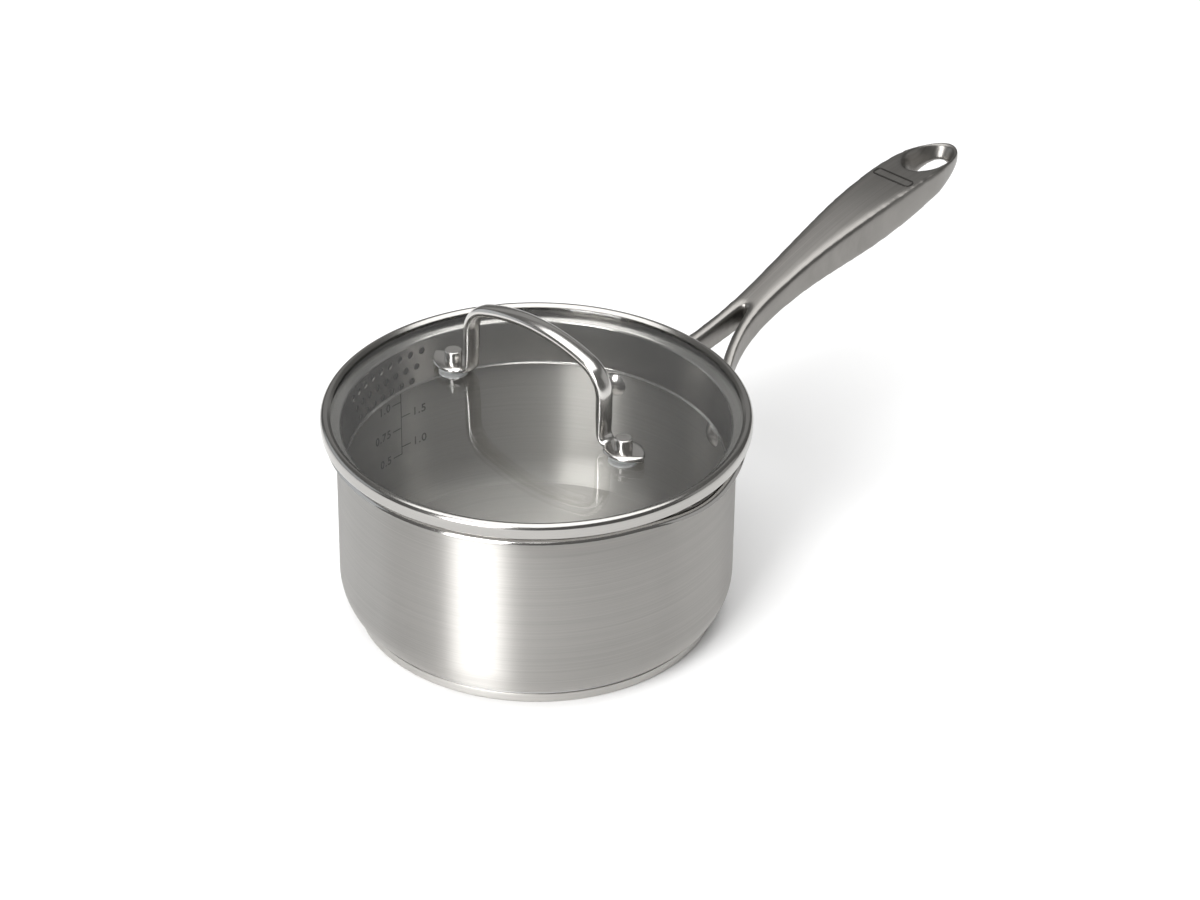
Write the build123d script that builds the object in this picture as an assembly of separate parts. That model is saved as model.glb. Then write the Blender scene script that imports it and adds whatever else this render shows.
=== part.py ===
from build123d import *
import math
import os

# Stainless steel saucepan with a straining glass lid. Millimetres, +Z up. The origin is on the pan's
# axis at the underside of its base, and +X runs along the long handle.

# Pan wall and rim
BODY_R = 80.0
SHEET = 0.7
INNER_R = BODY_R - SHEET
FLOOR_Z = 5.8
CORNER_R = 19.0
CORNER_Z = 19.3
KNUCKLE_R = 2.0
WALL_TOP_Z = 73.0
SEAM_AZIMUTH = 180.0
JOIN_TOLERANCE = 0.001
RIM_CREST_R = 82.0
RIM_CREST_Z = 83.7
RIM_CURL_R = 3.0
RIM_CURL_END = 25.0

# Two pouring lips, where the rim dips; azimuths count from the long handle
LIP_AZIMUTHS = (-80.0, 100.0)
LIP_HALF_ANGLE = 31.0
LIP_DIP = 3.9
LIP_SECTIONS = 9

# Sandwich base: an aluminium disc closed in by a steel cap
CAP_R = 73.3
CAP_SHEET = 0.5
CAP_CORNER_R = 1.2

# Long handle, riveted on at the end of each leg
RIVET_ANGLE = 20.6
RIVET_Z = 56.4
RIVET_HEAD_R = 5.4
RIVET_HEAD_H = 2.2
RIVET_SHANK_R = 2.5
RIVET_TAIL_H = 0.8
PAD_T = 3.4
PAD_HALF_W = 8.0
PAD_HALF_H = 9.0
CROTCH_X = 125.0
HANDLE_TIP_X = 259.0
HANDLE_SHOULDER_X = 228.0
HANDLE_SHOULDER_HALF_W = 12.6
TIP_SPANS = 8
HANDLE_CEILING_Z = 125.0
HANG_HOLE_X = 242.0
THROAT_Z = 103.0
THROAT_HALF_AXES = (8.5, 4.2)
MOUTH_HALF_AXES = (18.8, 13.6)
BADGE_X = 218.5
BADGE_Z = 113.2
BADGE_TILT = 7.0
BADGE_LENGTH = 5.5
BADGE_WIDTH = 21.0
BADGE_CORNER_R = 2.0
BADGE_LINE = 0.7
BADGE_DEPTH = 0.4

# Lid ring: one sheet folded into hem, band, seat and strainer skirt
RING_SHEET = 0.7
HEM_R = 82.0
HEM_TIP_Z = 90.4
HEM_STEP = 1.4
HEM_ROUND = 1.2
BAND_R = 86.1
BAND_TOP_Z = 91.3
BAND_BOTTOM_Z = 85.2
BAND_TOP_ROUND = 2.3
BAND_BOTTOM_ROUND = 1.4
SEAT_Z = 83.2
SEAT_ROUND = 0.8
SKIRT_TOP_R = 78.3
SKIRT_BOTTOM_R = 77.3
SKIRT_BOTTOM_Z = 64.8
SKIRT_CURL = 0.9
SKIRT_ROUND = 1.5

# Strainer holes in the skirt, small over one pouring lip and large over the other
SMALL_HOLE_R = 1.45
SMALL_HOLE_PITCH = 4.36
SMALL_ROWS = ((79.0, 9), (72.8, 8), (66.9, 7))
LARGE_HOLE_R = 2.6
LARGE_HOLE_PITCH = 6.15
LARGE_ROWS = ((77.0, 7), (69.6, 6))

# Lid glass
GLASS_R = 84.8
GLASS_T = 3.9
GLASS_EDGE_Z = 89.6
GLASS_RISE = 1.5
DOME_R = (GLASS_R**2 + GLASS_RISE**2) / (2 * GLASS_RISE)
DOME_Z = GLASS_EDGE_Z + GLASS_RISE - DOME_R
STUD_HOLE_R = 2.6

# Lid handle: a flat bar bent into a bow across the pan, with a leaf-shaped foot at each end
STUD_Y = 47.5
UPRIGHT_Y = 36.8
BOW_TOP_Z = 129.5
BOW_R = 85.0
BEND_R = 13.0
FOOT_BEND_R = 4.0
BAR_W = 7.5
BAR_T = 3.8
BAR_ROUND = 1.5
FOOT_T = 2.2
FOOT_HALF_L = 10.5
FOOT_HALF_W = 7.4
GASKET_R = 6.2
GASKET_T = 0.7
NUT_R = 3.7
NUT_H = 4.8
NUT_EDGE = 0.4
SCREW_R = 2.0
SCREW_HEAD_R = 4.2
SCREW_HEAD_H = 1.8
WASHER_R = 6.0
WASHER_T = 0.9

ON_BOTTOM = (Align.CENTER, Align.CENTER, Align.MIN)
SIDES = (-1, 1)


def polar(radius, degrees):
    turn = math.radians(degrees)
    return radius * math.cos(turn), radius * math.sin(turn)


def at_azimuth(shape, degrees):
    return shape.rotate(Axis.Z, degrees)


def arc_about(x, z, radius, start, end):
    """An arc in the XZ plane about (x, z), between two angles in degrees."""
    ends = []
    for angle in (start, (start + end) / 2, end):
        across, up = polar(radius, angle)
        ends.append((x + across, 0, z + up))
    return ThreePointArc(*ends)


def line_xz(first, last):
    return Line((first[0], 0, first[1]), (last[0], 0, last[1]))


def revolved(edges, degrees=360):
    return revolve(make_face(Wire(edges)), Axis.Z, degrees)


def offset_to_right(points, distance):
    """The open outline shifted to the right of its own direction, with mitred corners."""
    headings = []
    for (x0, z0), (x1, z1) in zip(points, points[1:]):
        headings.append(math.atan2(z1 - z0, x1 - x0))
    headings = [headings[0], *headings, headings[-1]]
    shifted = []
    for (x, z), before, after in zip(points, headings, headings[1:]):
        mitre = (before + after) / 2 - math.pi / 2
        reach = distance / math.cos((after - before) / 2)
        shifted.append((x + reach * math.cos(mitre), z + reach * math.sin(mitre)))
    return shifted


def folded_sheet(points, radii, turns, thickness):
    """Section of a folded sheet: its outside face, and the same face offset by the thickness.

    A turn is +1 where the sheet lies inside the bend and -1 where it lies outside.
    """
    back = offset_to_right(points, thickness)
    back_radii = [radius - turn * thickness for radius, turn in zip(radii, turns)]
    face_line = FilletPolyline(*[(x, 0, z) for x, z in points], radius=radii)
    back_line = FilletPolyline(*[(x, 0, z) for x, z in back], radius=back_radii)
    closing = [line_xz(points[-1], back[-1]), line_xz(back[0], points[0])]
    return [*face_line.edges(), *back_line.edges(), *closing]


def body_solid(inset, top_z):
    """The pan below its rim as a filled solid, shrunk all round by inset."""
    wall = BODY_R - inset
    floor = FLOOR_Z + inset
    corner_x = BODY_R - CORNER_R
    corner_r = CORNER_R - inset
    rise = CORNER_Z - floor
    knuckle_x = corner_x + math.sqrt(corner_r**2 - rise**2)
    knuckle_angle = -math.degrees(math.asin(rise / corner_r))
    solid = revolved([
        line_xz((0, floor), (knuckle_x, floor)),
        arc_about(corner_x, CORNER_Z, corner_r, knuckle_angle, 0),
        line_xz((wall, CORNER_Z), (wall, top_z)),
        line_xz((wall, top_z), (0, top_z)),
        line_xz((0, top_z), (0, floor)),
    ])
    knuckle = solid.edges().filter_by(GeomType.CIRCLE).sort_by(Axis.Z)[0]
    return fillet(knuckle, KNUCKLE_R)


def rim_edges(dip):
    """Section of the curled rim, lowered by dip, and of the stretch of wall below it."""
    crest_z = RIM_CREST_Z - dip
    bend_r = RIM_CREST_R - INNER_R
    bend_z = crest_z - bend_r
    curl_z = crest_z - RIM_CURL_R
    under_r = RIM_CURL_R - SHEET
    across, up = polar(RIM_CURL_R, RIM_CURL_END)
    under_across, under_up = polar(under_r, RIM_CURL_END)
    return [
        line_xz((INNER_R, WALL_TOP_Z), (INNER_R, bend_z)),
        arc_about(RIM_CREST_R, bend_z, bend_r, 180, 90),
        arc_about(RIM_CREST_R, curl_z, RIM_CURL_R, 90, RIM_CURL_END),
        line_xz((RIM_CREST_R + across, curl_z + up), (RIM_CREST_R + under_across, curl_z + under_up)),
        arc_about(RIM_CREST_R, curl_z, under_r, RIM_CURL_END, 90),
        arc_about(RIM_CREST_R, bend_z, bend_r - SHEET, 90, 180),
        line_xz((BODY_R, bend_z), (BODY_R, WALL_TOP_Z)),
        line_xz((BODY_R, WALL_TOP_Z), (INNER_R, WALL_TOP_Z)),
    ]


def pouring_lip(azimuth):
    """One dipping stretch of the rim, lofted through sections round the lip."""
    sections = []
    for index in range(LIP_SECTIONS):
        along = 2 * index / (LIP_SECTIONS - 1) - 1
        dip = LIP_DIP * math.cos(along * math.pi / 2) ** 2
        face = make_face(Wire(rim_edges(dip)))
        sections.append(at_azimuth(face, azimuth + along * LIP_HALF_ANGLE))
    return loft(sections)


def level_rim(start_azimuth):
    """A level stretch of the rim, from the end of one lip to the start of the other."""
    return at_azimuth(revolved(rim_edges(0), 180 - 2 * LIP_HALF_ANGLE), start_azimuth)


def cut_rivet_bores(shape):
    for side in SIDES:
        bore = Cylinder(RIVET_SHANK_R, 4 * PAD_T).rotate(Axis.Y, 90).translate((BODY_R, 0, RIVET_Z))
        shape -= at_azimuth(bore, side * RIVET_ANGLE)
    return shape


def rim():
    ring = Part()
    for azimuth in LIP_AZIMUTHS:
        ring += pouring_lip(azimuth)
        ring += level_rim(azimuth + LIP_HALF_ANGLE)
    return ring


def pan_body():
    shell = at_azimuth(body_solid(0, WALL_TOP_Z) - body_solid(SHEET, RIM_CREST_Z), SEAM_AZIMUTH)
    return cut_rivet_bores(shell.fuse(rim(), tol=JOIN_TOLERANCE))


def base_core():
    disc = Cylinder(CAP_R - CAP_SHEET, FLOOR_Z - CAP_SHEET, align=ON_BOTTOM)
    return disc.translate((0, 0, CAP_SHEET))


def base_cap():
    cap = Cylinder(CAP_R, FLOOR_Z, align=ON_BOTTOM)
    cap = fillet(cap.edges().filter_by(GeomType.CIRCLE).sort_by(Axis.Z)[0], CAP_CORNER_R)
    return cap - Cylinder(CAP_R - CAP_SHEET, FLOOR_Z, align=ON_BOTTOM).translate((0, 0, CAP_SHEET))


def mirrored(points):
    return [(x, -y) for x, y in reversed(points)]


def plan_spline(points):
    return Spline([(x, y, 0) for x, y in points])


def oval_tip():
    """Half an ellipse round the end of the grip, seen from above."""
    reach = HANDLE_TIP_X - HANDLE_SHOULDER_X
    points = []
    for index in range(TIP_SPANS + 1):
        turn = math.pi * index / TIP_SPANS
        points.append((HANDLE_SHOULDER_X + reach * math.sin(turn), HANDLE_SHOULDER_HALF_W * math.cos(turn)))
    return Spline([(x, y, 0) for x, y in points], tangents=[(1, 0, 0), (-1, 0, 0)])


def handle_plan():
    """The handle from above: a grip with an oval tip, parting into two legs at the pan."""
    outer = [(75.5, 33.0), (85.0, 26.0), (96.0, 17.4), (108.0, 11.0), (120.0, 8.1), (135.0, 7.5),
             (150.0, 8.0), (170.0, 9.5), (190.0, 11.4), (212.0, 12.7),
             (HANDLE_SHOULDER_X, HANDLE_SHOULDER_HALF_W)]
    inner = [(123.5, 1.5), (118.0, 2.8), (108.0, 5.8), (97.0, 11.0), (87.0, 18.2), (78.0, 25.0)]
    leg_end = [outer[0], inner[-1]]
    return make_face(Wire([
        plan_spline(outer),
        oval_tip(),
        plan_spline(mirrored(outer)),
        Line(*[(x, -y, 0) for x, y in leg_end]),
        plan_spline(mirrored(inner)),
        ThreePointArc((inner[0][0], -inner[0][1], 0), (CROTCH_X, 0, 0), (inner[0][0], inner[0][1], 0)),
        plan_spline(inner),
        Line(*[(x, y, 0) for x, y in reversed(leg_end)]),
    ]))


def handle_side():
    """The handle from the side: legs that rise steeply, then a long arched grip."""
    top = [(73.0, 61.5), (82.0, 64.3), (91.0, 69.2), (104.0, 77.6), (120.0, 86.3), (140.0, 94.0),
           (160.0, 100.6), (180.0, 106.2), (200.0, 110.6), (220.0, 113.5), (240.0, 115.0),
           (HANDLE_TIP_X, 115.5)]
    under = [(HANDLE_TIP_X, 110.5), (240.0, 103.5), (220.0, 98.4), (200.0, 93.6), (180.0, 89.8),
             (160.0, 86.2), (140.0, 81.2), (120.0, 74.2), (104.0, 67.0), (91.0, 58.6), (82.0, 52.6),
             (73.0, 50.0)]
    return make_face(Wire([
        Spline([(x, 0, z) for x, z in top]),
        line_xz(top[-1], under[0]),
        Spline([(x, 0, z) for x, z in under]),
        line_xz(under[-1], top[0]),
    ]))


def rivet_pad(side):
    """A curved oval plate that ends a leg and lies on the pan's wall."""
    blank = extrude(Ellipse(PAD_HALF_H, PAD_HALF_W), 2 * BODY_R).rotate(Axis.Y, 90)
    blank = blank.translate((0, 0, RIVET_Z))
    ring = Cylinder(BODY_R + PAD_T, 4 * PAD_HALF_H).translate((0, 0, RIVET_Z))
    return at_azimuth(blank & ring, side * RIVET_ANGLE)


def hang_hole():
    """An oval hole through the grip that flares towards the top."""
    throat = Ellipse(*THROAT_HALF_AXES)
    mouth = Ellipse(*MOUTH_HALF_AXES)
    hole = loft([Pos(0, 0, THROAT_Z) * throat, Pos(0, 0, HANDLE_CEILING_Z) * mouth])
    hole += extrude(throat, THROAT_Z)
    return hole.translate((HANG_HOLE_X, 0, 0))


def badge_groove():
    """The outline of a blank badge, sunk in the top face before the hanging hole."""
    plate = RectangleRounded(BADGE_LENGTH, BADGE_WIDTH, BADGE_CORNER_R)
    field = RectangleRounded(BADGE_LENGTH - 2 * BADGE_LINE, BADGE_WIDTH - 2 * BADGE_LINE,
                             BADGE_CORNER_R - BADGE_LINE)
    groove = extrude(plate - field, HANDLE_CEILING_Z - BADGE_Z).rotate(Axis.Y, -BADGE_TILT)
    return groove.translate((BADGE_X, 0, BADGE_Z - BADGE_DEPTH))


def pan_handle():
    handle = extrude(handle_plan(), HANDLE_CEILING_Z)
    handle &= extrude(handle_side(), BODY_R, both=True)
    for side in SIDES:
        handle += rivet_pad(side)
    handle -= Cylinder(BODY_R, HANDLE_CEILING_Z, align=ON_BOTTOM)
    handle -= hang_hole()
    handle -= badge_groove()
    return cut_rivet_bores(handle)


def rivet():
    """A rivet along +X: a low dome on the pan's inner wall, and a shank out into the handle."""
    dome_r = (RIVET_HEAD_R**2 + RIVET_HEAD_H**2) / (2 * RIVET_HEAD_H)
    dome = Sphere(dome_r).translate((INNER_R - RIVET_HEAD_H + dome_r, 0, RIVET_Z))
    head = dome & Cylinder(INNER_R, WALL_TOP_Z, align=ON_BOTTOM)
    length = RIVET_HEAD_H / 2 + SHEET + PAD_T + RIVET_TAIL_H
    shank = Cylinder(RIVET_SHANK_R, length, align=ON_BOTTOM).rotate(Axis.Y, 90)
    return head + shank.translate((INNER_R - RIVET_HEAD_H / 2, 0, RIVET_Z))


def handle_rivets():
    return Compound([at_azimuth(rivet(), side * RIVET_ANGLE) for side in SIDES])


def ring_section():
    """Hem over the glass, rolled band, seat on the pan's rim, and the skirt inside the pan."""
    points = [(HEM_R, HEM_TIP_Z), (HEM_R + HEM_STEP, BAND_TOP_Z), (BAND_R, BAND_TOP_Z), (BAND_R, BAND_BOTTOM_Z),
              (SKIRT_TOP_R, SEAT_Z), (SKIRT_BOTTOM_R, SKIRT_BOTTOM_Z),
              (SKIRT_BOTTOM_R - SKIRT_CURL, SKIRT_BOTTOM_Z - SKIRT_CURL)]
    radii = [HEM_ROUND, BAND_TOP_ROUND, BAND_BOTTOM_ROUND, SEAT_ROUND, SKIRT_ROUND]
    return folded_sheet(points, radii, (1, 1, 1, -1, 1), RING_SHEET)


def row_of_holes(hole_r, pitch, z, count, azimuth):
    holes = []
    for index in range(count):
        bore = Cylinder(hole_r, BODY_R, align=ON_BOTTOM).rotate(Axis.Y, 90).translate((BODY_R / 2, 0, z))
        holes.append(at_azimuth(bore, azimuth + (index - (count - 1) / 2) * pitch))
    return holes


def lid_ring():
    ring = revolved(ring_section())
    large_side, small_side = LIP_AZIMUTHS
    for z, count in SMALL_ROWS:
        ring -= row_of_holes(SMALL_HOLE_R, SMALL_HOLE_PITCH, z, count, small_side)
    for z, count in LARGE_ROWS:
        ring -= row_of_holes(LARGE_HOLE_R, LARGE_HOLE_PITCH, z, count, large_side)
    return ring


def glass_top_z(radius):
    return DOME_Z + math.sqrt(DOME_R**2 - radius**2)


def glass_disc():
    """A disc domed by the same amount above and below."""
    edge_angle = math.degrees(math.acos(GLASS_R / DOME_R))
    top_z = glass_top_z(0)
    return revolved([
        arc_about(0, DOME_Z, DOME_R, 90, edge_angle),
        line_xz((GLASS_R, GLASS_EDGE_Z), (GLASS_R, GLASS_EDGE_Z - GLASS_T)),
        arc_about(0, DOME_Z - GLASS_T, DOME_R, edge_angle, 90),
        line_xz((0, top_z - GLASS_T), (0, top_z)),
    ])


def lid_glass():
    disc = glass_disc()
    for side in SIDES:
        disc -= at_stud(Cylinder(STUD_HOLE_R, GLASS_EDGE_Z), side, GLASS_EDGE_Z)
    return disc


def at_stud(shape, side, z):
    return shape.translate((0, side * STUD_Y, z))


def foot_bottom_z():
    return glass_top_z(STUD_Y) + GASKET_T


def foot_top_z():
    return foot_bottom_z() + FOOT_T


def bow_path():
    """Centre line of the bent bar, in the YZ plane, from one foot over to the other."""
    bow_z = BOW_TOP_Z - BOW_R
    bend_y = UPRIGHT_Y - BEND_R
    bend_z = bow_z + math.sqrt((BOW_R - BEND_R) ** 2 - bend_y**2)
    bend_angle = math.degrees(math.atan2(bend_z - bow_z, bend_y))
    join_y, join_up = polar(BOW_R, bend_angle)
    join_z = bow_z + join_up
    mid_y, mid_up = polar(BEND_R, bend_angle / 2)
    foot_z = foot_bottom_z() + BAR_T / 2
    heel_y = UPRIGHT_Y + FOOT_BEND_R
    heel_z = foot_z + FOOT_BEND_R
    heel_mid_y, heel_mid_z = polar(FOOT_BEND_R, -135)
    toe_y = heel_y + BAR_ROUND
    edges = []
    for side in SIDES:
        edges.append(Line((0, side * toe_y, foot_z), (0, side * heel_y, foot_z)))
        edges.append(ThreePointArc(
            (0, side * heel_y, foot_z),
            (0, side * (heel_y + heel_mid_y), heel_z + heel_mid_z),
            (0, side * UPRIGHT_Y, heel_z),
        ))
        edges.append(Line((0, side * UPRIGHT_Y, heel_z), (0, side * UPRIGHT_Y, bend_z)))
        edges.append(ThreePointArc(
            (0, side * UPRIGHT_Y, bend_z),
            (0, side * (bend_y + mid_y), bend_z + mid_up),
            (0, side * join_y, join_z),
        ))
    edges.append(ThreePointArc((0, -join_y, join_z), (0, 0, BOW_TOP_Z), (0, join_y, join_z)))
    return Wire(edges)


def leaf_foot(side):
    leaf = extrude(Ellipse(FOOT_HALF_W, FOOT_HALF_L), FOOT_T)
    return at_stud(leaf, side, foot_bottom_z())


def lid_handle():
    path = bow_path()
    across = Plane(origin=path @ 0, x_dir=(1, 0, 0), z_dir=path % 0)
    bar = sweep(across * RectangleRounded(BAR_W, BAR_T, BAR_ROUND), path)
    for side in SIDES:
        bar += leaf_foot(side)
        bar -= at_stud(Cylinder(SCREW_R, 4 * FOOT_T), side, foot_bottom_z())
    return bar


def foot_gaskets():
    """Thin silicone washers between each foot and the glass, lining the hole."""
    gaskets = []
    for side in SIDES:
        disc = Cylinder(GASKET_R, 2 * GASKET_T)
        disc = at_stud(disc, side, foot_bottom_z() - GASKET_T) - glass_disc()
        gaskets.append(disc - at_stud(Cylinder(SCREW_R, 4 * GASKET_T), side, foot_bottom_z()))
    return Compound(gaskets)


def washer_top_z():
    return glass_top_z(STUD_Y + WASHER_R) - GLASS_T


def screw_washers():
    """Washers under the glass, one below each stud."""
    washers = []
    for side in SIDES:
        ring = Cylinder(WASHER_R, WASHER_T) - Cylinder(SCREW_R, WASHER_T)
        washers.append(at_stud(ring, side, washer_top_z() - WASHER_T / 2))
    return Compound(washers)


def lid_screws():
    """Screws from inside the lid: a low head, and a shank through glass and foot into the nut."""
    head_top = washer_top_z() - WASHER_T
    length = foot_top_z() + NUT_H / 2 - head_top
    screws = []
    for side in SIDES:
        head = Cylinder(SCREW_HEAD_R, SCREW_HEAD_H, align=ON_BOTTOM)
        head = fillet(head.edges().filter_by(GeomType.CIRCLE).sort_by(Axis.Z)[0], SCREW_HEAD_H / 2)
        shank = Cylinder(SCREW_R, length, align=ON_BOTTOM).translate((0, 0, SCREW_HEAD_H))
        screws.append(at_stud(head + shank, side, head_top - SCREW_HEAD_H))
    return Compound(screws)


def lid_nuts():
    """Round flat-topped nuts that hold the feet down."""
    nuts = []
    for side in SIDES:
        nut = Cylinder(NUT_R, NUT_H, align=ON_BOTTOM)
        nut = fillet(nut.edges().filter_by(GeomType.CIRCLE).sort_by(Axis.Z)[-1], NUT_EDGE)
        nut -= Cylinder(SCREW_R, NUT_H / 2, align=ON_BOTTOM)
        nuts.append(at_stud(nut, side, foot_top_z()))
    return Compound(nuts)


PARTS = {
    "pan_body": pan_body,
    "base_core": base_core,
    "base_cap": base_cap,
    "pan_handle": pan_handle,
    "handle_rivets": handle_rivets,
    "lid_ring": lid_ring,
    "lid_glass": lid_glass,
    "lid_handle": lid_handle,
    "foot_gaskets": foot_gaskets,
    "screw_washers": screw_washers,
    "lid_screws": lid_screws,
    "lid_nuts": lid_nuts,
}

os.makedirs("parts", exist_ok=True)
for name, make in PARTS.items():
    export_step(make(), f"parts/{name}.step")
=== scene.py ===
import math

import bmesh
import bpy
import numpy
from mathutils import Matrix, Vector
from mathutils.bvhtree import BVHTree


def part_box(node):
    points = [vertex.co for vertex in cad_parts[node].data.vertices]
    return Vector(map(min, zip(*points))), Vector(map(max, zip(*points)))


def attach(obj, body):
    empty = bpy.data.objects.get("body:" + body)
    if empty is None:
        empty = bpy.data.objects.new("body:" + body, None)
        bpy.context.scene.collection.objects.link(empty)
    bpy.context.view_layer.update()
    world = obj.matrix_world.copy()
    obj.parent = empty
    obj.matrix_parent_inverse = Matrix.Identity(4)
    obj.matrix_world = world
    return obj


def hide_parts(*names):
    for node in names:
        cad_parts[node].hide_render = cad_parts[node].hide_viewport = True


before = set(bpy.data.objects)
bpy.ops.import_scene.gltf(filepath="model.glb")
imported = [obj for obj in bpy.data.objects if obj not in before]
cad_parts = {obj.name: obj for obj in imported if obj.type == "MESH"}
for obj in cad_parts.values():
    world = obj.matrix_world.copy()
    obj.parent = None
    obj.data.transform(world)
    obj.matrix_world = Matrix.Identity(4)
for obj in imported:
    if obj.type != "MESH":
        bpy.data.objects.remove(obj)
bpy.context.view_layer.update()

# Everything is in metres, in the model's own frame. MM turns a size in millimetres into metres.
MM = 0.001

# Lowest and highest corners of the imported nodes, which the pieces below are sized from
BODY_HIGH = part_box("pan_body")[1]
CAP_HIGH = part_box("base_cap")[1]
BOW_LOW, BOW_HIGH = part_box("lid_handle")
NUT_LOW, NUT_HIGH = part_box("lid_nuts")

# Pan wall, rim and lips
WALL_R = 80.0 * MM
SHEET = 0.7 * MM
CORNER_R = 19.0 * MM
CORNER_Z = 19.3 * MM
WALL_TOP_Z = 73.0 * MM
RIM_CREST_R = 82.0 * MM
RIM_CREST_Z = BODY_HIGH.z
RIM_CURL_R = 3.0 * MM
RIM_CURL_END = 25.0
LIP_AZIMUTHS = (-80.0, 100.0)
LIP_HALF_ANGLE = 31.0
LIP_DIP = 3.9 * MM
RIM_EDGE_MARGIN = 0.15 * MM

# Capsule under the base: a shallow hub and turned rings in its underside, and a groove at its top edge
CAP_SIDE_ROUND = 1.2 * MM
CAP_TOP_ROUND = 0.3 * MM
CAP_RING_DEPTH = 0.25 * MM
CAP_RING_SLOPE = 0.4 * MM
CAP_RING_EDGES = ((24.0, 26.0), (50.0, 52.0))
CAP_HUB_R = 12.0 * MM
CAP_HUB_DEPTH = 0.3 * MM
CAP_HUB_SLOPE = 0.6 * MM
CAP_INSIDE_Z = 0.5 * MM
CAP_GROOVE_H = 1.9 * MM
CAP_GROOVE_DEPTH = 1.0 * MM
CAP_WALL = 1.5 * MM

# Long handle: how its copy is remeshed and softened, and the blank badge on its top
HANDLE_VOXEL = 0.55 * MM
SOFTEN_ALL_ROUNDS = 20
SOFTEN_GRIP_ROUNDS = 45
SOFTEN_FACTOR = 0.5
LEG_SHARE = 0.1
GRIP_START_X = 112.0 * MM
GRIP_END_X = 228.0 * MM
GRIP_BLEND = 20.0 * MM
TIP_UNDER_Z = 112.0 * MM
TIP_BLEND = 3.0 * MM
RAY_START_Z = 200.0 * MM
BADGE_X = 218.5 * MM
BADGE_HALF_X = 2.6 * MM
BADGE_HALF_Y = 10.2 * MM
BADGE_CORNER_R = 1.9 * MM
BADGE_LINE = 0.7 * MM
BADGE_LIFT = 0.22 * MM
BADGE_SINK = 0.4 * MM

# Lid ring: its outside face from the hem to the end of the skirt, as (radius, height) in millimetres,
# with the bend at each inner point
RING_PATH = ((82.0, 90.4), (83.4, 91.3), (86.1, 91.3), (86.1, 85.2), (78.3, 83.2), (77.3, 64.8),
             (76.4, 63.9))
RING_BENDS = (1.2, 2.3, 1.4, 0.8, 1.5)
RING_SHEET = 0.7 * MM

# Strainer holes: azimuth of the middle, radius in millimetres, pitch in degrees, and (height in
# millimetres, count) of each row
SMALL_HOLES = (100.0, 1.45, 4.36, ((79.0, 9), (72.8, 8), (66.9, 7)))
LARGE_HOLES = (-80.0, 2.6, 6.15, ((77.0, 7), (69.6, 6)))
HOLE_MIDDLE_R = 77.5 * MM
HOLE_DEPTH = 6.0 * MM
HOLE_SIDES = 32

# Lid handle
NUT_R = 3.7 * MM
STUD_Y = (NUT_HIGH.y - NUT_LOW.y) / 2 - NUT_R
NUT_EDGE_R = 0.5 * MM
NUT_TAPER = 0.25 * MM
NUT_FLAT_R = 1.6 * MM
FOOT_TIP_Y = BOW_HIGH.y
FOOT_Z = BOW_LOW.z
FOOT_T = NUT_LOW.z - BOW_LOW.z
FOOT_HALF_W = BOW_HIGH.x
LEAF_TAPER = 2.2
LEAF_FULLNESS = 0.8
UPRIGHT_Y = 36.8 * MM
HEEL_R = 4.0 * MM
BAR_W = 7.5 * MM
BAR_T = 4.6 * MM
BOW_TOP_Z = BOW_HIGH.z - BAR_T / 2
BOW_R = 85.0 * MM
BEND_R = 13.0 * MM
BAR_BLEND_H = 12.0 * MM
BAR_SIDES = 28
BAR_SQUARENESS = 0.8
TOE_HALF_W = 0.15 * MM

# Marks on the inside wall
MARK_AZIMUTH = 90.0
MARK_DEPTH = 0.06 * MM
MARK_LINE_W = 0.5 * MM
MARK_TICK = 5.0 * MM
MARK_TEXT_SIZE = 5.2 * MM
MARK_TEXT_BOLD = 0.09 * MM
MARK_TEXT_SPACING = 1.15
MARK_TEXT_GAP = 1.2 * MM
MARK_OVERSHOOT = 2.0 * MM
LITRE_MARKS = (("0.5", 32.3), ("0.75", 45.0), ("1.0", 57.6))
PINT_MARKS = (("1.0", 35.7), ("1.5", 50.1), ("2.0", 64.5))

STEPS_ROUND = 288


# ---- Mesh helpers ----

def polar(radius, degrees):
    turn = math.radians(degrees)
    return radius * math.cos(turn), radius * math.sin(turn)


def arc(x, z, radius, start, end, count):
    """Points on an arc in the XZ plane about (x, z), from one angle to another in degrees."""
    points = []
    for index in range(count + 1):
        across, up = polar(radius, start + (end - start) * index / count)
        points.append((x + across, z + up))
    return points


def new_piece(name, verts, faces, material, body, replaced=(), sharp_angle=35):
    mesh = bpy.data.meshes.new(name)
    mesh.from_pydata(verts, [], faces)
    mesh.validate()
    return dress(bpy.data.objects.new(name, mesh), material, body, replaced, sharp_angle)


def dress(piece, material, body, replaced=(), sharp_angle=35):
    """Link the piece, close and orient its mesh, shade it, and tie it to its body."""
    bpy.context.scene.collection.objects.link(piece)
    mesh = piece.data
    work = bmesh.new()
    work.from_mesh(mesh)
    bmesh.ops.remove_doubles(work, verts=work.verts, dist=0.002 * MM)
    bmesh.ops.recalc_face_normals(work, faces=work.faces)
    work.to_mesh(mesh)
    work.free()
    mesh.materials.clear()
    mesh.materials.append(material)
    mesh.shade_smooth()
    mesh.set_sharp_from_angle(angle=math.radians(sharp_angle))
    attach(piece, body)
    if replaced:
        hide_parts(*replaced)
    return piece


def revolve(profile, shift=None, steps=STEPS_ROUND):
    """Turn a closed profile of (radius, z) points about the Z axis; shift(azimuth, radius, z) gives z."""
    verts = []
    for step in range(steps):
        azimuth = 360 * step / steps
        for radius, z in profile:
            x, y = polar(radius, azimuth)
            verts.append((x, y, shift(azimuth, radius, z) if shift else z))
    count = len(profile)
    faces = []
    for step in range(steps):
        here = step * count
        there = (step + 1) % steps * count
        for index in range(count):
            after = (index + 1) % count
            faces.append((here + index, here + after, there + after, there + index))
    return verts, faces


# ---- Materials ----

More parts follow.
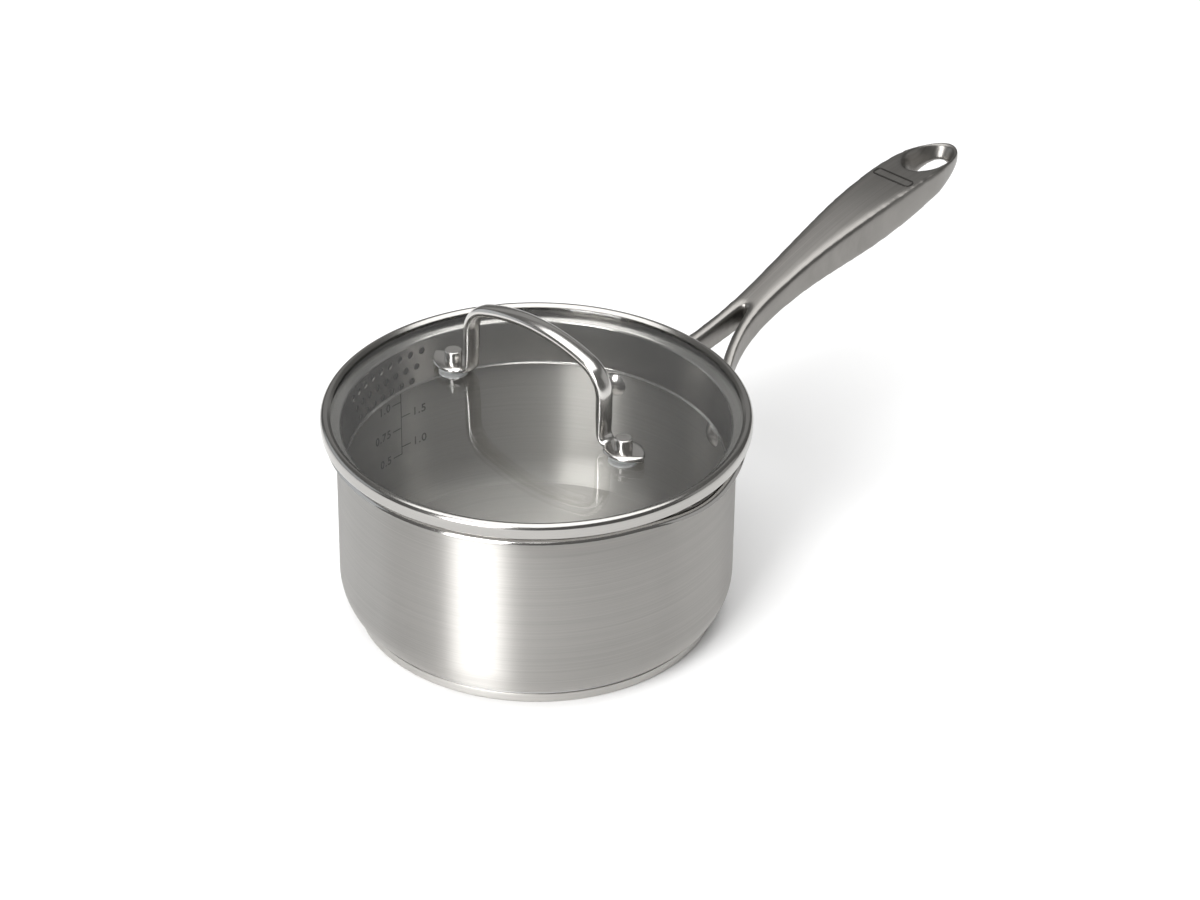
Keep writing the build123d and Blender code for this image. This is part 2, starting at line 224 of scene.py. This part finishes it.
def new_material(name):
    material = bpy.data.materials.new(name)
    material.use_nodes = True
    nodes = material.node_tree.nodes
    shader = next(node for node in nodes if node.type == "BSDF_PRINCIPLED")
    return material, nodes, material.node_tree.links, shader


def math_node(nodes, links, operation, first, second=None):
    node = nodes.new("ShaderNodeMath")
    node.operation = operation
    for socket, value in zip(node.inputs, (first, second)):
        if isinstance(value, (int, float)):
            socket.default_value = value
        elif value is not None:
            links.new(value, socket)
    return node.outputs[0]


def noise_node(nodes, links, vector, scale, detail=2.0, roughness=0.5):
    noise = nodes.new("ShaderNodeTexNoise")
    noise.inputs["Scale"].default_value = scale
    noise.inputs["Detail"].default_value = detail
    noise.inputs["Roughness"].default_value = roughness
    links.new(vector, noise.inputs["Vector"])
    return noise.outputs["Fac"]


def turned_grain(nodes, links, fine=2200.0, drift=9.0, slow=7.0):
    """Coordinates that hardly change round the Z axis, for fine lines that run round the pan."""
    place = nodes.new("ShaderNodeTexCoord").outputs["Object"]
    split = nodes.new("ShaderNodeSeparateXYZ")
    links.new(place, split.inputs[0])
    x, y, z = split.outputs
    x_squared = math_node(nodes, links, "MULTIPLY", x, x)
    y_squared = math_node(nodes, links, "MULTIPLY", y, y)
    radius = math_node(nodes, links, "SQRT", math_node(nodes, links, "ADD", x_squared, y_squared))
    return stretched(nodes, links, (
        (radius, fine, x, drift),
        (z, fine, y, drift),
        (x, slow, y, slow),
    ))


def handle_grain(nodes, links, along=12.0, across=1600.0, upward=60.0, rise=0.28):
    """Coordinates that change slowly along the handle, for fine lines that run along it."""
    place = nodes.new("ShaderNodeTexCoord").outputs["Object"]
    split = nodes.new("ShaderNodeSeparateXYZ")
    links.new(place, split.inputs[0])
    x, y, z = split.outputs
    return stretched(nodes, links, (
        (x, along, y, 0.0),
        (y, across, x, 0.0),
        (z, upward, x, -upward * rise),
    ))


def stretched(nodes, links, terms):
    join = nodes.new("ShaderNodeCombineXYZ")
    for socket, (first, first_scale, second, second_scale) in zip(join.inputs, terms):
        scaled = math_node(nodes, links, "MULTIPLY", first, first_scale)
        other = math_node(nodes, links, "MULTIPLY", second, second_scale)
        links.new(math_node(nodes, links, "ADD", scaled, other), socket)
    return join.outputs[0]


def ranged(nodes, links, value, low, high):
    node = nodes.new("ShaderNodeMapRange")
    node.inputs["From Min"].default_value = 0.3
    node.inputs["From Max"].default_value = 0.7
    node.inputs["To Min"].default_value = low
    node.inputs["To Max"].default_value = high
    links.new(value, node.inputs["Value"])
    return node.outputs["Result"]


def ramped(nodes, links, value, dark, light):
    ramp = nodes.new("ShaderNodeValToRGB")
    ramp.color_ramp.elements[0].position = 0.3
    ramp.color_ramp.elements[0].color = (*dark, 1)
    ramp.color_ramp.elements[1].position = 0.7
    ramp.color_ramp.elements[1].color = (*light, 1)
    links.new(value, ramp.inputs["Fac"])
    return ramp.outputs["Color"]


def add_bump(nodes, links, shader, height, strength, distance):
    bump = nodes.new("ShaderNodeBump")
    bump.inputs["Strength"].default_value = strength
    bump.inputs["Distance"].default_value = distance
    links.new(height, bump.inputs["Height"])
    links.new(bump.outputs["Normal"], shader.inputs["Normal"])


def steel(name, grain, dark, light, roughness, bump, anisotropy=0.0, turned=True):
    """Stainless steel with a fine grain in its colour, roughness and height."""
    material, nodes, links, shader = new_material(name)
    coords = grain(nodes, links)
    lines = noise_node(nodes, links, coords, 1.0, 3.0, 0.6)
    links.new(ramped(nodes, links, lines, dark, light), shader.inputs["Base Color"])
    links.new(ranged(nodes, links, lines, *roughness), shader.inputs["Roughness"])
    add_bump(nodes, links, shader, lines, bump, 0.01 * MM)
    shader.inputs["Metallic"].default_value = 1.0
    if anisotropy:
        shader.inputs["Anisotropic"].default_value = anisotropy
        tangent = nodes.new("ShaderNodeTangent")
        tangent.direction_type = "RADIAL"
        tangent.axis = "Z" if turned else "X"
        links.new(tangent.outputs["Tangent"], shader.inputs["Tangent"])
        shader.inputs["Anisotropic Rotation"].default_value = 0.25 if turned else 0.0
    return material


def cast_grain(nodes, links):
    """Plain object coordinates, for a grain with no direction."""
    return nodes.new("ShaderNodeTexCoord").outputs["Object"]


def clear_glass():
    material, nodes, links, shader = new_material("lid_glass_clear")
    smear = noise_node(nodes, links, nodes.new("ShaderNodeTexCoord").outputs["Object"], 60.0)
    links.new(ranged(nodes, links, smear, 0.0, 0.015), shader.inputs["Roughness"])
    shader.inputs["Base Color"].default_value = (0.975, 0.98, 0.975, 1)
    shader.inputs["Transmission Weight"].default_value = 1.0
    shader.inputs["IOR"].default_value = 1.5
    return material


def silicone():
    material, nodes, links, shader = new_material("silicone_translucent")
    cloud = noise_node(nodes, links, nodes.new("ShaderNodeTexCoord").outputs["Object"], 900.0)
    colour = ramped(nodes, links, cloud, (0.42, 0.43, 0.43), (0.55, 0.56, 0.56))
    links.new(colour, shader.inputs["Base Color"])
    shader.inputs["Roughness"].default_value = 0.45
    shader.inputs["Transmission Weight"].default_value = 0.5
    return material


def etched_mark():
    """Laser marking: a nearly black, slightly uneven film on the steel."""
    material, nodes, links, shader = new_material("etched_mark")
    grain = noise_node(nodes, links, turned_grain(nodes, links), 1.0)
    colour = ramped(nodes, links, grain, (0.004, 0.004, 0.004), (0.012, 0.012, 0.011))
    links.new(colour, shader.inputs["Base Color"])
    shader.inputs["Metallic"].default_value = 0.2
    shader.inputs["Roughness"].default_value = 0.6
    return material


def pale_floor():
    material, nodes, links, shader = new_material("floor_white")
    cloud = noise_node(nodes, links, nodes.new("ShaderNodeTexCoord").outputs["Object"], 3.0)
    links.new(ramped(nodes, links, cloud, (0.9, 0.9, 0.9), (0.92, 0.92, 0.92)), shader.inputs["Base Color"])
    shader.inputs["Roughness"].default_value = 0.9
    shader.inputs["Specular IOR Level"].default_value = 0.1
    return material


# ---- Pan ----

def lip_dip(azimuth):
    """How far the rim dips at an azimuth: a smooth hollow at each lip."""
    for lip in LIP_AZIMUTHS:
        away = abs((azimuth - lip + 180) % 360 - 180)
        if away < LIP_HALF_ANGLE:
            return LIP_DIP * math.cos(away / LIP_HALF_ANGLE * math.pi / 2) ** 2
    return 0.0


def rim_shift(azimuth, radius, z):
    bend_z = RIM_CREST_Z - (RIM_CREST_R - WALL_R + SHEET)
    share = min(1.0, max(0.0, (z - WALL_TOP_Z) / (bend_z - WALL_TOP_Z)))
    return z - share * lip_dip(azimuth)


def wall_side(inset):
    """One face of the pan's sheet from the floor's middle up the wall, shrunk by inset."""
    floor = CAP_HIGH.z + inset
    corner_r = CORNER_R - inset
    corner_x = WALL_R - CORNER_R
    start = -math.degrees(math.asin((CORNER_Z - floor) / corner_r))
    knuckle_x = corner_x + corner_r * math.cos(math.radians(start))
    floor_points = [(knuckle_x * share, floor) for share in (0, 0.3, 0.6, 0.8, 0.9, 0.96)]
    return [*floor_points, *arc(corner_x, CORNER_Z, corner_r, start, 0, 20), (WALL_R - inset, WALL_TOP_Z)]


def pan_shell():
    bend_r = RIM_CREST_R - WALL_R + SHEET
    bend_z = RIM_CREST_Z - bend_r
    curl_z = RIM_CREST_Z - RIM_CURL_R
    inner_rim = [
        *arc(RIM_CREST_R, bend_z, bend_r, 180, 90, 10),
        *arc(RIM_CREST_R, curl_z, RIM_CURL_R, 80, RIM_CURL_END, 8),
    ]
    under_rim = [
        *arc(RIM_CREST_R, curl_z, RIM_CURL_R - SHEET, RIM_CURL_END, 90, 8),
        *arc(RIM_CREST_R, bend_z, bend_r - SHEET, 100, 180, 8),
    ]
    profile = [*wall_side(SHEET), *inner_rim, *under_rim, *reversed(wall_side(0))]
    verts, faces = revolve(profile, rim_shift)
    shell = new_piece("pan_shell", verts, faces, PAN_STEEL, "pan", ("pan_body",))
    shell.data.materials.append(RIM_STEEL)
    shell.data.materials.append(SHADED_INSIDE_STEEL)
    for face in shell.data.polygons:
        outward = face.normal.xy.dot(face.center.xy)
        if face.center.xy.length > WALL_R + RIM_EDGE_MARGIN:
            face.material_index = 1
        # Faces that look inwards or upwards take the darker copy of the steel: painted shade on the inside of
        # the pan.
        elif outward < 0 or face.normal.z > 0.5:
            face.material_index = 2
    return shell


def base_plate():
    """The capsule under the pan, with a rounded side and a shallow hub and two rings in its underside."""
    cap_r = CAP_HIGH.x
    lip_z = CAP_HIGH.z - CAP_GROOVE_H
    profile = [(0, CAP_HUB_DEPTH), (CAP_HUB_R, CAP_HUB_DEPTH), (CAP_HUB_R + CAP_HUB_SLOPE, 0)]
    for start, end in CAP_RING_EDGES:
        profile += [(start * MM, 0), (start * MM + CAP_RING_SLOPE, CAP_RING_DEPTH)]
        profile += [(end * MM - CAP_RING_SLOPE, CAP_RING_DEPTH), (end * MM, 0)]
    profile += [(cap_r - 3 * CAP_SIDE_ROUND, 0)]
    profile += arc(cap_r - CAP_SIDE_ROUND, CAP_SIDE_ROUND, CAP_SIDE_ROUND, -90, 0, 8)
    profile += arc(cap_r - CAP_TOP_ROUND, lip_z, CAP_TOP_ROUND, 0, 90, 4)
    profile += [(cap_r - CAP_GROOVE_DEPTH, lip_z + CAP_TOP_ROUND), (cap_r - CAP_GROOVE_DEPTH, CAP_HIGH.z)]
    profile += [(cap_r - CAP_WALL, CAP_HIGH.z), (cap_r - CAP_WALL, CAP_INSIDE_Z), (0, CAP_INSIDE_Z)]
    verts, faces = revolve(profile)
    return new_piece("base_plate", verts, faces, BASE_STEEL, "pan", ("base_cap",))


def grip_share(place):
    """How strongly a place on the handle is rounded: fully on the grip, less on the legs and the tip."""
    rising = min(1.0, max(0.0, (place[0] - GRIP_START_X) / GRIP_BLEND))
    falling = min(1.0, max(0.0, (GRIP_END_X - place[0]) / GRIP_BLEND))
    underside = min(1.0, max(0.0, (TIP_UNDER_Z - place[2]) / TIP_BLEND))
    return SOFTEN_FACTOR * (LEG_SHARE + (1 - LEG_SHARE) * rising * max(falling, underside))


def soften(mesh, rounds, share):
    """Move every point part of the way to the mean of its neighbours, again and again."""
    count = len(mesh.vertices)
    places = numpy.empty(count * 3)
    mesh.vertices.foreach_get("co", places)
    places = places.reshape(count, 3)
    ends = numpy.empty(len(mesh.edges) * 2, dtype=numpy.int64)
    mesh.edges.foreach_get("vertices", ends)
    first, second = ends.reshape(-1, 2).T
    degree = numpy.bincount(ends, minlength=count)[:, None]
    weight = numpy.array([share(place) for place in places])[:, None]
    for _ in range(rounds):
        total = numpy.zeros_like(places)
        for axis in range(3):
            total[:, axis] += numpy.bincount(first, places[second, axis], minlength=count)
            total[:, axis] += numpy.bincount(second, places[first, axis], minlength=count)
        places += weight * (total / degree - places)
    mesh.vertices.foreach_set("co", places.ravel())


def badge_outline(handle):
    """The raised outline of a blank badge across the grip, laid on the handle's top."""
    surface = BVHTree.FromPolygons([vertex.co for vertex in handle.data.vertices],
                                   [face.vertices for face in handle.data.polygons])
    straight_x = BADGE_HALF_X - BADGE_CORNER_R
    straight_y = BADGE_HALF_Y - BADGE_CORNER_R
    inner = 1 - BADGE_LINE / BADGE_CORNER_R
    path = []
    for turn, x_sign, y_sign in ((0, 1, 1), (90, -1, 1), (180, -1, -1), (270, 1, -1)):
        for step in range(9):
            across, along = polar(BADGE_CORNER_R, turn + 90 * step / 8)
            path.append((x_sign * straight_x, y_sign * straight_y, across, along))
    verts = []
    for centre_x, centre_y, across, along in path:
        for scale, lift in ((1, -BADGE_SINK), (1, BADGE_LIFT), (inner, BADGE_LIFT), (inner, -BADGE_SINK)):
            x = BADGE_X + centre_x + across * scale
            y = centre_y + along * scale
            hit = surface.ray_cast(Vector((x, y, RAY_START_Z)), Vector((0, 0, -1)))[0]
            verts.append((x, y, hit.z + lift))
    faces = []
    count = len(path)
    for index in range(count):
        here = 4 * index
        there = 4 * ((index + 1) % count)
        for side in range(4):
            after = (side + 1) % 4
            faces.append((here + side, here + after, there + after, there + side))
    # The outline's dark steel is painted shade along the raised line.
    return new_piece("badge_outline", verts, faces, BADGE_SHADE_STEEL, "pan")


def cast_handle():
    """The long handle with the soft edges of a polished casting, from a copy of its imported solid."""
    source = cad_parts["pan_handle"]
    rough = bpy.data.objects.new("long_handle_rough", source.data.copy())
    bpy.context.scene.collection.objects.link(rough)
    remesh = rough.modifiers.new("remesh", "REMESH")
    remesh.mode = "VOXEL"
    remesh.voxel_size = HANDLE_VOXEL
    graph = bpy.context.evaluated_depsgraph_get()
    mesh = bpy.data.meshes.new_from_object(rough.evaluated_get(graph))
    bpy.data.objects.remove(rough)
    mesh.name = "long_handle"
    soften(mesh, SOFTEN_ALL_ROUNDS, lambda place: SOFTEN_FACTOR)
    soften(mesh, SOFTEN_GRIP_ROUNDS, grip_share)
    handle = bpy.data.objects.new("long_handle", mesh)
    return dress(handle, HANDLE_STEEL, "pan", ("pan_handle",), 60)


# ---- Lid ----

def rounded_path(points, bends, steps=8):
    """A line through the points with its inner corners rounded."""
    path = [Vector(points[0])]
    for before, corner, after, bend in zip(points, points[1:], points[2:], bends):
        corner = Vector(corner)
        back = (Vector(before) - corner).normalized()
        onward = (Vector(after) - corner).normalized()
        half = back.angle(onward) / 2
        reach = bend / math.tan(half)
        centre = corner + (back + onward).normalized() * bend / math.sin(half)
        start = corner + back * reach - centre
        end = corner + onward * reach - centre
        sweep = start.angle_signed(end)
        for step in range(steps + 1):
            path.append(centre + Matrix.Rotation(-sweep * step / steps, 2) @ start)
    path.append(Vector(points[-1]))
    return path


def sheet_section(path, thickness):
    """Closed section of a sheet whose outside face follows the path."""
    inside = []
    for index, point in enumerate(path):
        run = (path[min(index + 1, len(path) - 1)] - path[max(index - 1, 0)]).normalized()
        inside.append(point + Vector((run.y, -run.x)) * thickness)
    return [tuple(point) for point in (*path, *reversed(inside))]


def hole_cutter():
    """One mesh of all the strainer holes' bores."""
    work = bmesh.new()
    for middle, radius, pitch, rows in (SMALL_HOLES, LARGE_HOLES):
        for height, count in rows:
            for index in range(count):
                azimuth = middle + (index - (count - 1) / 2) * pitch
                x, y = polar(HOLE_MIDDLE_R, azimuth)
                place = Matrix.Translation((x, y, height * MM))
                place @= Matrix.Rotation(math.radians(azimuth), 4, "Z") @ Matrix.Rotation(math.pi / 2, 4, "Y")
                bmesh.ops.create_cone(work, cap_ends=True, segments=HOLE_SIDES, radius1=radius * MM,
                                      radius2=radius * MM, depth=HOLE_DEPTH, matrix=place)
    mesh = bpy.data.meshes.new("bores")
    work.to_mesh(mesh)
    work.free()
    cutter = bpy.data.objects.new("bores", mesh)
    bpy.context.scene.collection.objects.link(cutter)
    return cutter


def lid_ring():
    """The rolled steel ring: hem over the glass, round band, seat and perforated skirt."""
    corners = [(radius * MM, z * MM) for radius, z in RING_PATH]
    path = rounded_path(corners, [bend * MM for bend in RING_BENDS])
    verts, faces = revolve(sheet_section(path, RING_SHEET))
    mesh = bpy.data.meshes.new("ring_blank")
    mesh.from_pydata(verts, [], faces)
    blank = bpy.data.objects.new("ring_blank", mesh)
    bpy.context.scene.collection.objects.link(blank)
    cutter = hole_cutter()
    cut = blank.modifiers.new("holes", "BOOLEAN")
    cut.operation = "DIFFERENCE"
    cut.object = cutter
    graph = bpy.context.evaluated_depsgraph_get()
    pierced = bpy.data.meshes.new_from_object(blank.evaluated_get(graph))
    bpy.data.objects.remove(blank)
    bpy.data.objects.remove(cutter)
    pierced.name = "lid_ring_rolled"
    ring = bpy.data.objects.new("lid_ring_rolled", pierced)
    return dress(ring, RING_STEEL, "lid", ("lid_ring",), 40)


def bow_half():
    """Centre line of half of the lid handle, from the foot's tip up to the middle of the bow.

    Each entry is (y, z, heading in degrees).
    """
    foot_z = FOOT_Z + FOOT_T / 2
    heel_y = UPRIGHT_Y + HEEL_R
    heel_z = foot_z + HEEL_R
    bow_z = BOW_TOP_Z - BOW_R
    bend_y = UPRIGHT_Y - BEND_R
    bend_z = bow_z + math.sqrt((BOW_R - BEND_R) ** 2 - bend_y**2)
    bend_angle = math.degrees(math.atan2(bend_z - bow_z, bend_y))
    points = []
    flat_steps = 22
    for index in range(flat_steps + 1):
        y = FOOT_TIP_Y + (heel_y - FOOT_TIP_Y) * (index / flat_steps) ** 1.6
        points.append((y, foot_z, 180.0))
    for index in range(1, 9):
        turn = -90 - 90 * index / 8
        across, up = polar(HEEL_R, turn)
        points.append((heel_y + across, heel_z + up, turn - 90))
    for share in (0.25, 0.5, 0.75):
        points.append((UPRIGHT_Y, heel_z + (bend_z - heel_z) * share, 90.0 - 360.0))
    for index in range(17):
        turn = bend_angle * index / 16
        across, up = polar(BEND_R, turn)
        points.append((bend_y + across, bend_z + up, turn + 90 - 360))
    for index in range(1, 13):
        turn = bend_angle + (90 - bend_angle) * index / 12
        across, up = polar(BOW_R, turn)
        points.append((across, bow_z + up, turn + 90 - 360))
    return points


def foot_outline(away):
    """Half the foot's width at a distance from the stud towards the tip (positive) or the heel."""
    reach = FOOT_TIP_Y - STUD_Y
    share = min(1.0, abs(away) / reach)
    leaf = FOOT_HALF_W * (1 - share**LEAF_TAPER) ** LEAF_FULLNESS
    return leaf if away > 0 else max(leaf, BAR_W / 2)


def lid_bow():
    """One bent bar: leaf-shaped feet that narrow and thicken into the rounded flat bar of the bow."""
    half = bow_half()
    sections = []
    for y, z, heading in half:
        on_foot = y > UPRIGHT_Y + HEEL_R and z < FOOT_Z + FOOT_T
        half_w = foot_outline(y - STUD_Y) if on_foot else BAR_W / 2
        rise = min(1.0, max(0.0, (z - FOOT_Z) / BAR_BLEND_H))
        thick = FOOT_T + (BAR_T - FOOT_T) * rise
        turn = math.radians(heading)
        normal = (-math.sin(turn), math.cos(turn))
        sections.append((y, z, max(half_w, TOE_HALF_W), thick / 2, normal))
    rows = list(sections)
    for y, z, half_w, half_t, normal in reversed(sections[:-1]):
        rows.append((-y, z, half_w, half_t, (-normal[0], normal[1])))
    verts = []
    for y, z, half_w, half_t, (normal_y, normal_z) in rows:
        for index in range(BAR_SIDES):
            turn = 2 * math.pi * index / BAR_SIDES
            across = math.copysign(abs(math.cos(turn)) ** BAR_SQUARENESS, math.cos(turn)) * half_w
            out = math.copysign(abs(math.sin(turn)) ** BAR_SQUARENESS, math.sin(turn)) * half_t
            verts.append((across, y + normal_y * out, z + normal_z * out))
    faces = []
    for row in range(len(rows) - 1):
        for index in range(BAR_SIDES):
            after = (index + 1) % BAR_SIDES
            here = row * BAR_SIDES
            there = here + BAR_SIDES
            faces.append((here + index, here + after, there + after, there + index))
    faces.append(tuple(range(BAR_SIDES)))
    faces.append(tuple(reversed(range(len(verts) - BAR_SIDES, len(verts)))))
    return new_piece("lid_bow", verts, faces, POLISHED_STEEL, "lid", ("lid_handle",), 60)


def stud_nuts():
    """Turned nuts with a slight taper, a rounded edge and a dished top."""
    low = NUT_LOW.z
    high = NUT_HIGH.z
    outer = NUT_HIGH.x
    shoulder = outer - NUT_TAPER
    profile = [(0, low), (outer, low), (shoulder, high - NUT_EDGE_R)]
    profile += arc(shoulder - NUT_EDGE_R, high - NUT_EDGE_R, NUT_EDGE_R, 10, 90, 6)
    profile += [(NUT_FLAT_R, high - 0.1 * MM), (0, high - 0.15 * MM)]
    for side, name in ((1, "stud_nut_left"), (-1, "stud_nut_right")):
        verts, faces = revolve(profile, steps=64)
        verts = [(x, y + side * STUD_Y, z) for x, y, z in verts]
        nut = new_piece(name, verts, faces, POLISHED_STEEL, "lid")
        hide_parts("lid_nuts")


# ---- Marks on the inside wall ----

def wall_patch(name, outline_mesh):
    """Wrap a flat mesh (x to the right, y up, seen from inside the pan) on the inside wall as a film."""
    inner_r = WALL_R - SHEET
    for vertex in outline_mesh.vertices:
        across, height, depth = vertex.co
        azimuth = math.radians(MARK_AZIMUTH) - across / inner_r
        radius = inner_r - depth
        vertex.co = (radius * math.cos(azimuth), radius * math.sin(azimuth), height)
    return dress(bpy.data.objects.new(name, outline_mesh), ETCHED, "pan")


def bar_mesh(name, left, right, low, high):
    """A thin upright film, cut into strips so that it can wrap."""
    strips = max(1, round((right - left) / MM))
    verts = []
    for depth in (0.0, MARK_DEPTH):
        for index in range(strips + 1):
            across = left + (right - left) * index / strips
            verts += [(across, low, depth), (across, high, depth)]
    back = 2 * (strips + 1)
    faces = []
    for index in range(strips):
        a = 2 * index
        faces.append((a, a + 1, a + 3, a + 2))
        faces.append((back + a, back + a + 2, back + a + 3, back + a + 1))
        faces.append((a, a + 2, back + a + 2, back + a))
        faces.append((a + 1, back + a + 1, back + a + 3, a + 3))
    faces.append((0, back, back + 1, 1))
    end = 2 * strips
    faces.append((end, end + 1, back + end + 1, back + end))
    mesh = bpy.data.meshes.new(name)
    mesh.from_pydata(verts, [], faces)
    return mesh


def number_mesh(name, text, x, height, align):
    """Digits as a thin film with their middle at the given height."""
    curve = bpy.data.curves.new(name, "FONT")
    curve.body = text
    curve.size = MARK_TEXT_SIZE
    curve.extrude = MARK_DEPTH / 2
    curve.align_x = align
    curve.align_y = "CENTER"
    curve.space_character = MARK_TEXT_SPACING
    curve.offset = MARK_TEXT_BOLD
    item = bpy.data.objects.new(name, curve)
    bpy.context.scene.collection.objects.link(item)
    graph = bpy.context.evaluated_depsgraph_get()
    mesh = bpy.data.meshes.new_from_object(item.evaluated_get(graph))
    bpy.data.objects.remove(item)
    mesh.transform(Matrix.Translation((x, height, MARK_DEPTH / 2)))
    return mesh


def graduations():
    low = LITRE_MARKS[0][1] * MM
    high = PINT_MARKS[-1][1] * MM + MARK_OVERSHOOT
    half = MARK_LINE_W / 2
    wall_patch("mark_line", bar_mesh("mark_line", -half, half, low - half, high))
    gap = MARK_TICK + MARK_TEXT_GAP
    for index, (text, height) in enumerate(LITRE_MARKS):
        z = height * MM
        wall_patch(f"mark_litre_tick_{index}", bar_mesh("tick", -MARK_TICK, -half, z - half, z + half))
        wall_patch(f"mark_litre_{index}", number_mesh("digits", text, -gap, z, "RIGHT"))
    for index, (text, height) in enumerate(PINT_MARKS):
        z = height * MM
        wall_patch(f"mark_pint_tick_{index}", bar_mesh("tick", half, MARK_TICK, z - half, z + half))
        wall_patch(f"mark_pint_{index}", number_mesh("digits", text, gap, z, "LEFT"))


# ---- Stage, lights and camera ----

VIEW_AZIMUTH = -135.3
CAMERA_PLACE = Vector((-0.8520, -0.8431, 0.8248))
CAMERA_FORWARD = Vector((0.6143, 0.5827, -0.5320))
CAMERA_ROLL = 0.767
CAMERA_LENS = 106.1
CAMERA_SENSOR = 36.0


def around(offset, distance, height):
    """A place at an angle to the right (positive) or left of the camera, seen from the pan's axis."""
    x, y = polar(distance, VIEW_AZIMUTH + offset)
    return Vector((x, y, height))


def add_camera():
    camera = bpy.data.objects.new("camera", bpy.data.cameras.new("camera"))
    camera.data.lens = CAMERA_LENS
    camera.data.sensor_width = CAMERA_SENSOR
    camera.data.sensor_fit = "HORIZONTAL"
    aim = CAMERA_FORWARD.to_track_quat("-Z", "Y").to_matrix().to_4x4()
    roll = Matrix.Rotation(math.radians(CAMERA_ROLL), 4, "Z")
    camera.matrix_world = Matrix.Translation(CAMERA_PLACE) @ aim @ roll
    bpy.context.scene.collection.objects.link(camera)
    bpy.context.scene.camera = camera


def add_softbox(name, place, target, width, height, power, colour=(1, 1, 1)):
    light = bpy.data.lights.new(name, "AREA")
    light.shape = "RECTANGLE"
    light.size = width
    light.size_y = height
    light.energy = power
    light.color = colour
    item = bpy.data.objects.new(name, light)
    item.rotation_euler = (target - place).to_track_quat("-Z", "Y").to_euler()
    item.location = place
    bpy.context.scene.collection.objects.link(item)


def add_floor():
    half = 6.0
    corners = [(-half, -half, 0), (half, -half, 0), (half, half, 0), (-half, half, 0)]
    mesh = bpy.data.meshes.new("floor")
    mesh.from_pydata(corners, [], [(0, 1, 2, 3)])
    mesh.materials.append(pale_floor())
    floor = bpy.data.objects.new("floor", mesh)
    bpy.context.scene.collection.objects.link(floor)


def add_world():
    world = bpy.data.worlds.new("studio")
    world.use_nodes = True
    background = world.node_tree.nodes["Background"]
    background.inputs["Color"].default_value = (1.0, 0.99, 0.97, 1)
    background.inputs["Strength"].default_value = 0.17
    bpy.context.scene.world = world


def add_lights():
    """A tall softbox to the camera's left, weak panels to its right and left, one behind, and one above."""
    middle = Vector((0, 0, 0.05))
    add_softbox("key", around(-32, 1.5, 0.85), middle, 0.80, 1.4, 34)
    add_softbox("top", Vector((0, 0, 2.4)), middle, 2.8, 2.8, 68)
    add_softbox("right", around(98, 1.5, 0.5), middle, 1.1, 0.9, 1.2)
    add_softbox("left", around(-110, 1.5, 0.5), middle, 1.4, 0.9, 2.5, (0.90, 0.95, 1.0))
    add_softbox("back", around(180, 2.0, 1.15), middle, 2.4, 0.9, 1.6)


def set_colour_management():
    """Plain colours, as a catalogue picture has them."""
    bpy.context.scene.view_settings.view_transform = "Standard"


def dress_node(node, material):
    """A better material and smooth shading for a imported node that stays."""
    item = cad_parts[node]
    item.data.materials.clear()
    item.data.materials.append(material)
    item.data.shade_smooth()
    item.data.set_sharp_from_angle(angle=math.radians(35))


PAN_STEEL = steel("pan_steel_turned", turned_grain, (0.405, 0.395, 0.379), (0.485, 0.473, 0.454),
                  (0.42, 0.46), 0.03, anisotropy=1.0)
# A darker copy of the pan steel for the inside faces: painted shade inside the pan, whose inside and outside
# are one sheet of steel.
SHADED_INSIDE_STEEL = steel("inside_steel_turned_painted_shade", turned_grain, (0.285, 0.276, 0.262), (0.325, 0.315, 0.299),
                     (0.40, 0.44), 0.03, anisotropy=1.0)
RIM_STEEL = steel("rim_steel_polished", turned_grain, (0.50, 0.49, 0.475), (0.53, 0.52, 0.505),
                  (0.10, 0.14), 0.008)
BASE_STEEL = steel("base_steel_turned", turned_grain, (0.52, 0.508, 0.488), (0.57, 0.557, 0.535),
                   (0.42, 0.50), 0.05, anisotropy=0.6)
HANDLE_STEEL = steel("handle_steel_drawn", handle_grain, (0.215, 0.207, 0.196), (0.255, 0.246, 0.233),
                     (0.30, 0.35), 0.02, anisotropy=0.3, turned=False)
# Much darker than the handle steel: painted shade along the badge's raised outline, which is the handle's own
# metal.
BADGE_SHADE_STEEL = steel("badge_steel_painted_shade", cast_grain, (0.085, 0.082, 0.078), (0.12, 0.116, 0.11),
                    (0.30, 0.36), 0.01)
POLISHED_STEEL = steel("polished_steel", cast_grain, (0.54, 0.528, 0.51), (0.56, 0.548, 0.53),
                       (0.18, 0.22), 0.01)
RING_STEEL = steel("ring_steel_polished", turned_grain, (0.36, 0.351, 0.338), (0.39, 0.381, 0.366),
                   (0.16, 0.20), 0.008)
CORE_METAL = steel("core_aluminium", turned_grain, (0.6, 0.6, 0.61), (0.7, 0.7, 0.71), (0.35, 0.45), 0.1)
ETCHED = etched_mark()
SILICONE = silicone()

add_camera()
add_floor()
add_world()
add_lights()
set_colour_management()

pan_shell()
base_plate()
badge_outline(cast_handle())
lid_ring()
lid_bow()
stud_nuts()
graduations()

# Light reaches the inside of the pan through the glass
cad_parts["lid_glass"].visible_shadow = False

for node, material in (
    ("base_core", CORE_METAL),
    ("handle_rivets", POLISHED_STEEL),
    ("lid_glass", clear_glass()),
    ("lid_screws", POLISHED_STEEL),
    ("foot_gaskets", SILICONE),
    ("screw_washers", SILICONE),
):
    dress_node(node, material)
